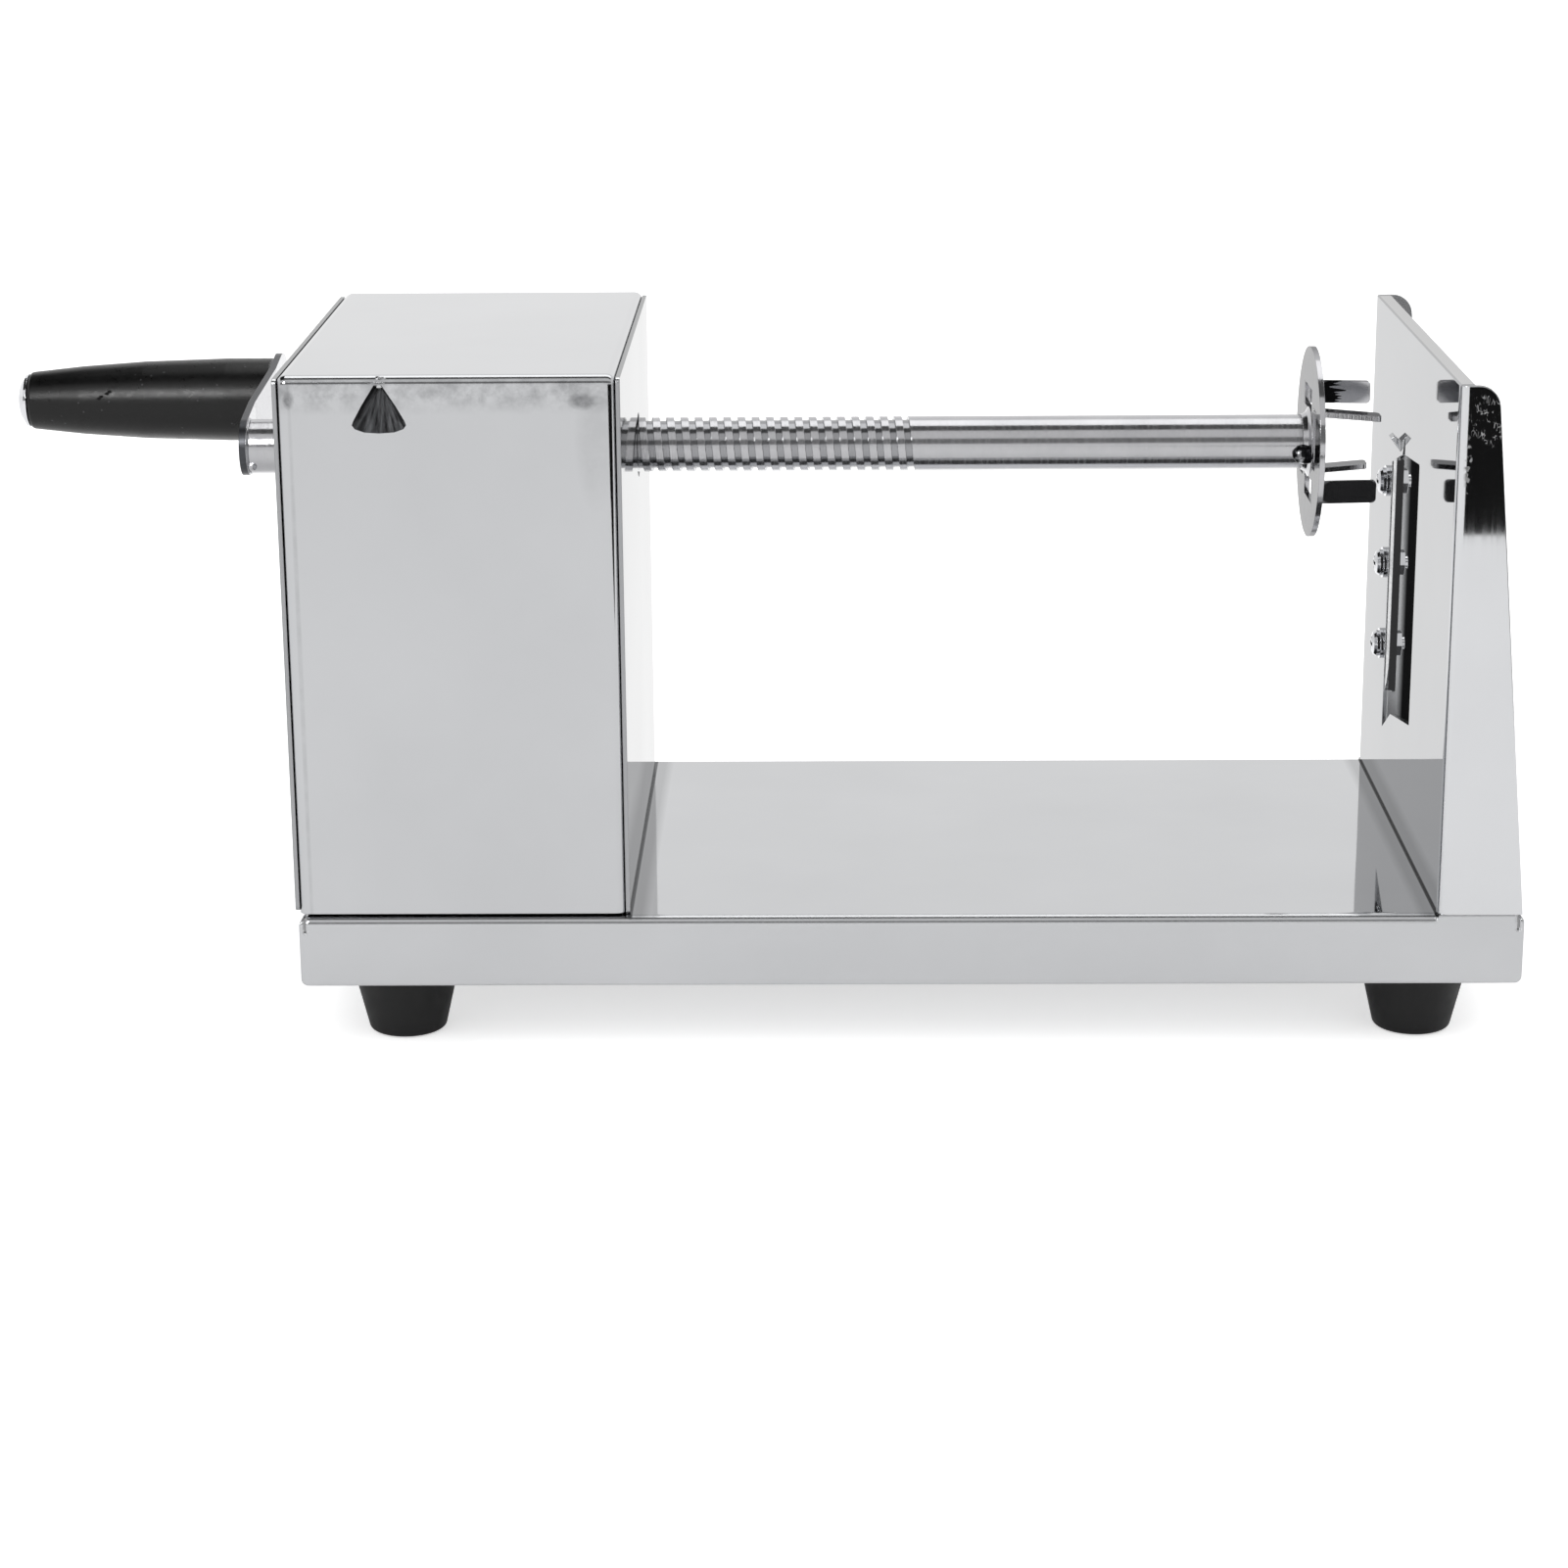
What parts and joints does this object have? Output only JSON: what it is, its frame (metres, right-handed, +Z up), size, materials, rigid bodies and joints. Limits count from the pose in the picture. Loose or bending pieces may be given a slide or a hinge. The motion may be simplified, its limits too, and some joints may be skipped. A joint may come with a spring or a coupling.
{
  "type": "tornado potato cutter",
  "caption": "Hand cranked potato twister: a threaded crank tube turns through a steel housing and pushes a pronged disc towards an upright slotted blade plate on a footed base.",
  "frame": {"origin": "middle of the bounding box in X and Y, at the underside of the feet", "axes": "+X from the crank handle towards the blade plate, along the crank tube; +Y from the front to the back; +Z up"},
  "size_m": [0.4474, 0.162, 0.1926],
  "materials": {
    "sheet_steel": "satin",
    "bright_steel": "polished",
    "blade_steel": "polished",
    "fastener_steel": "polished",
    "zinc_steel": "satin",
    "chrome_plate": "polished",
    "black_plastic": "gloss",
    "dark_nylon": "matte",
    "black_rubber": "matte"
  },
  "bodies": {
    "frame": {"base_tray": "sheet_steel", "end_plate": "sheet_steel", "housing_shell": "sheet_steel", "housing_left_wall": "sheet_steel", "housing_right_wall": "sheet_steel", "thread_nut": "bright_steel", "thread_follower": "bright_steel", "guide_bush": "dark_nylon", "cutting_blade": "blade_steel", "foot_front_left": "black_rubber", "foot_screw_front_left": "zinc_steel", "foot_nut_front_left": "zinc_steel", "foot_front_right": "black_rubber", "foot_screw_front_right": "zinc_steel", "foot_nut_front_right": "zinc_steel", "foot_back_left": "black_rubber", "foot_screw_back_left": "zinc_steel", "foot_nut_back_left": "zinc_steel", "foot_back_right": "black_rubber", "foot_screw_back_right": "zinc_steel", "foot_nut_back_right": "zinc_steel", "blade_screw_top": "fastener_steel", "blade_washer_top": "fastener_steel", "blade_nut_top": "fastener_steel", "blade_screw_middle": "fastener_steel", "blade_washer_middle": "fastener_steel", "blade_nut_middle": "fastener_steel", "blade_screw_bottom": "fastener_steel", "blade_washer_bottom": "fastener_steel", "blade_nut_bottom": "fastener_steel"},
    "feed_carriage": {"skewer_bush": "dark_nylon"},
    "crank": {"crank_tube": "bright_steel", "pusher_disc": "bright_steel", "disc_weld": "bright_steel", "crank_arm": "bright_steel", "arm_weld": "bright_steel", "handle_spindle": "bright_steel", "handle_washer": "bright_steel", "handle_cap": "chrome_plate"},
    "grip": {"handle_grip": "black_plastic"}
  },
  "joints": [
    {"name": "tube_feed", "type": "slide", "parent": "frame", "child": "feed_carriage", "axis": [1, 0, 0], "range_m": [-0.16, 0.006]},
    {"name": "crank_turn", "type": "hinge", "parent": "feed_carriage", "child": "crank", "pos_m": [-0.0213, 0.0085, 0.1563], "axis": [1, 0, 0], "range_deg": [-13701, 509]},
    {"name": "grip_spin", "type": "hinge", "parent": "crank", "child": "grip", "pos_m": [-0.1813, 0.0661, 0.16], "axis": [1, 0, 0], "continuous": true}
  ],
  "couplings": [
    {"joint": "tube_feed", "follows": "crank_turn", "m_per_rad": 0.00066845}
  ]
}
